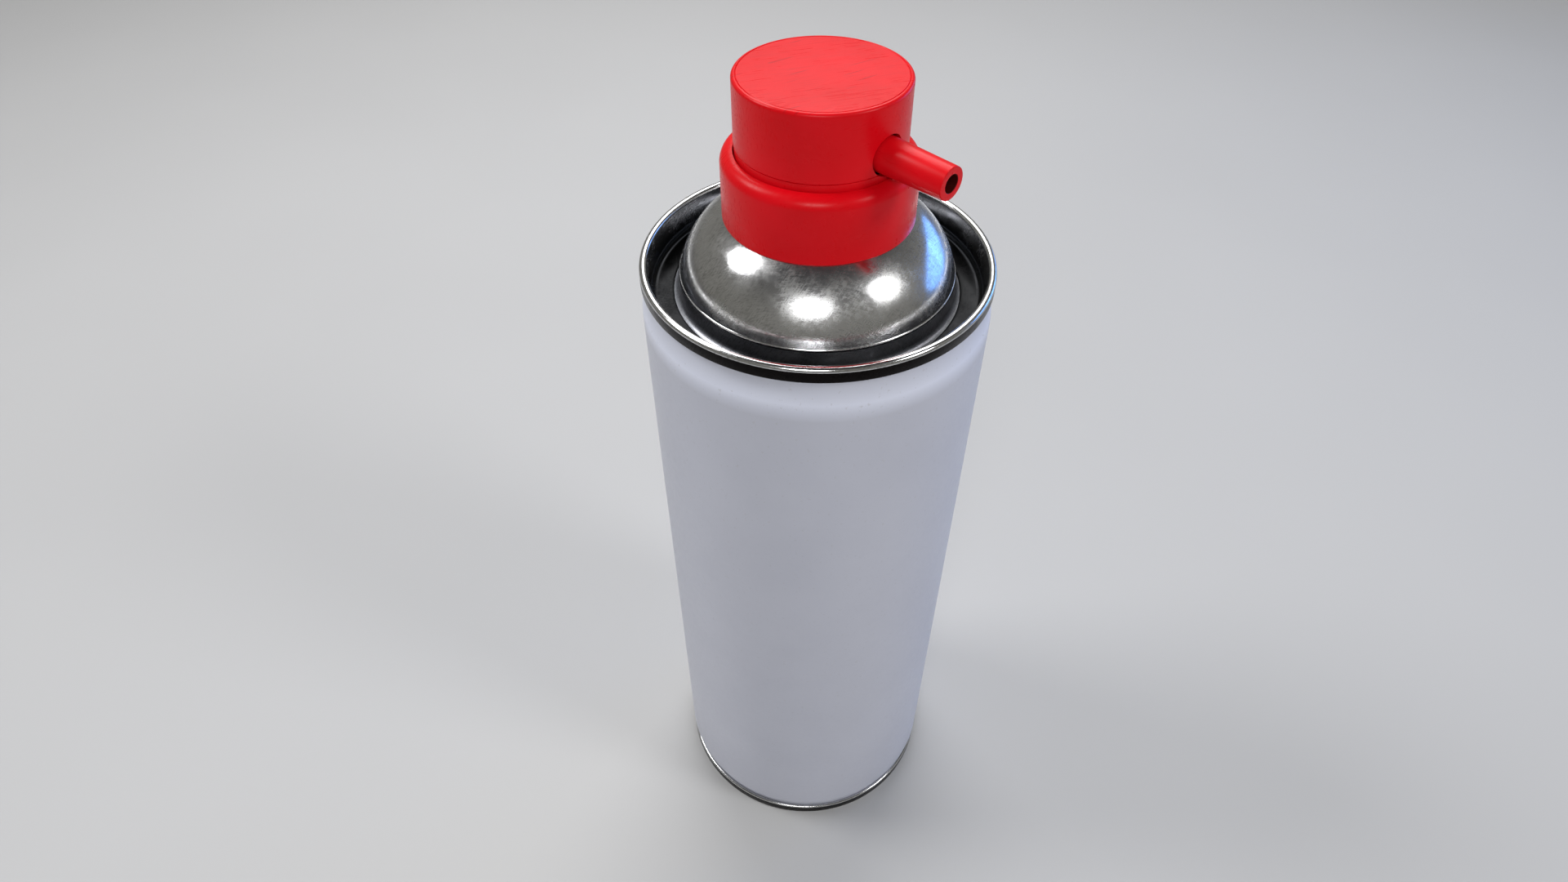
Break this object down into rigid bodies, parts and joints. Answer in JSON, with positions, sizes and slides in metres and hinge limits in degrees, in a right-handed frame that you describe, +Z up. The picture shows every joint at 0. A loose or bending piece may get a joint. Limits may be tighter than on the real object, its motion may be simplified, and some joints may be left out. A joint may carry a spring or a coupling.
{
  "type": "aerosol spray can",
  "caption": "Straight steel aerosol can with seamed domed ends, valve and dip tube, and a round press button with a short spout tube in a low collar.",
  "frame": {"origin": "centre of the base rim, on the surface the can stands on", "axes": "+Z up the can's axis, +X the way the spout tube points"},
  "size_m": [0.065, 0.065, 0.1937],
  "materials": {
    "white_coating": "satin",
    "polished_steel": "polished",
    "black_rubber": "matte",
    "natural_plastic": "matte",
    "spring_steel": "brushed",
    "ball_steel": "satin",
    "red_plastic": "semi-gloss",
    "dark_plastic": "matte"
  },
  "bodies": {
    "can": {"can_body": "white_coating", "top_end": "polished_steel", "bottom_end": "polished_steel", "top_seam_compound": "black_rubber", "bottom_seam_compound": "black_rubber", "mounting_cup": "polished_steel", "cup_gasket": "black_rubber", "stem_gasket": "black_rubber", "valve_housing": "natural_plastic", "valve_spring": "spring_steel", "dip_tube": "natural_plastic", "actuator_collar": "red_plastic"},
    "stem": {"valve_stem": "natural_plastic"},
    "button": {"button_cap": "red_plastic", "actuator_hub": "red_plastic", "spout_tube": "red_plastic", "spray_insert": "dark_plastic"},
    "ball_1": {"mixing_ball_1": "ball_steel"},
    "ball_2": {"mixing_ball_2": "ball_steel"}
  },
  "joints": [
    {"name": "valve_press", "type": "slide", "parent": "can", "child": "stem", "axis": [0, 0, 1], "range_m": [-0.0007, 0], "stiffness_N_per_m": 4000, "springref_m": 0.002, "deforming": ["valve_spring"]},
    {"name": "button_turn", "type": "hinge", "parent": "stem", "child": "button", "pos_m": [0, 0, 0.184], "axis": [0, 0, 1], "continuous": true},
    {"name": "ball_1_lift", "type": "slide", "parent": "can", "child": "ball_1", "axis": [0, 0, 1], "range_m": [0, 0.136]},
    {"name": "ball_2_lift", "type": "slide", "parent": "can", "child": "ball_2", "axis": [0, 0, 1], "range_m": [0, 0.136]}
  ]
}
